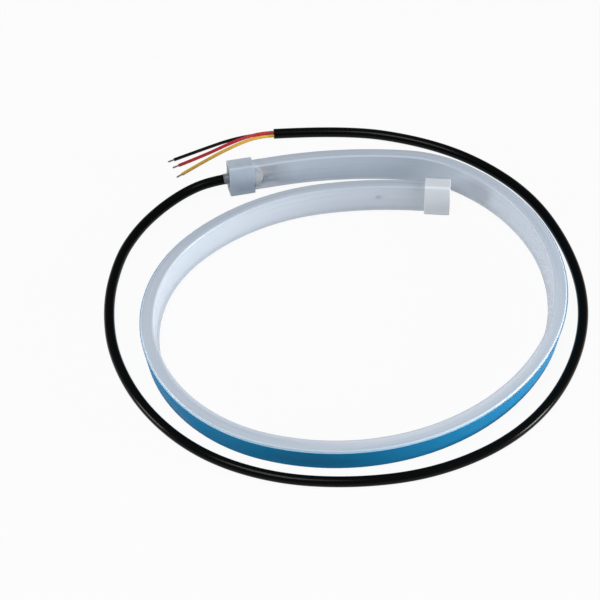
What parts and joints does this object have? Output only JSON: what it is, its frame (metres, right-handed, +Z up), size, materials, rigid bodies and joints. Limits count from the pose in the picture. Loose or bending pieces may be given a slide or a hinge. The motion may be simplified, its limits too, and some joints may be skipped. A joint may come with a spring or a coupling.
{
  "type": "daytime running light strip",
  "caption": "Flexible daytime running light: a coiled translucent silicone strip with white and amber emitters behind a milky diffuser, an adhesive back, capped sealed ends and a lead cable with bare core ends.",
  "frame": {"origin": "middle of the coiled strip's footprint, at the level of the surface it lies on", "axes": "+X to the right along the coil's longer width, +Y to the back where both ends of the strip are, +Z up"},
  "size_m": [0.201, 0.2067, 0.0154],
  "materials": {
    "translucent_silicone": "translucent, satin",
    "milky_silicone": "milky white, satin",
    "circuit_film": "white solder mask, satin",
    "white_emitter": "phosphor window in a white package",
    "amber_emitter": "amber window in a white package",
    "resistor_ceramic": "matte",
    "solder": "bright, reflowed",
    "adhesive_foam": "matte foam",
    "liner_film": "smooth film, semi-gloss",
    "cap_silicone": "translucent, satin",
    "clear_sealant": "clear, glossy",
    "cable_jacket_pvc": "satin",
    "red_insulation": "semi-gloss",
    "yellow_insulation": "semi-gloss",
    "black_insulation": "semi-gloss",
    "tinned_copper": "tinned strands"
  },
  "bodies": {
    "root": {"silicone_sleeve": "translucent_silicone", "flex_circuit": "circuit_film", "white_leds": "white_emitter", "amber_leds": "amber_emitter", "resistors": "resistor_ceramic", "diffuser_channel": "milky_silicone", "solder_joints": "solder", "adhesive_tape": "adhesive_foam", "release_liner": "liner_film", "cable_cap": "cap_silicone", "tail_cap": "cap_silicone", "cable_end_sealant": "clear_sealant", "tail_sealant": "clear_sealant", "cable_entry_sealant": "clear_sealant", "cable_jacket": "cable_jacket_pvc", "red_lead": "red_insulation", "yellow_lead": "yellow_insulation", "black_lead": "black_insulation", "red_wire": "red_insulation", "yellow_wire": "yellow_insulation", "black_wire": "black_insulation", "red_conductor": "tinned_copper", "yellow_conductor": "tinned_copper", "black_conductor": "tinned_copper"}
  },
  "joints": []
}
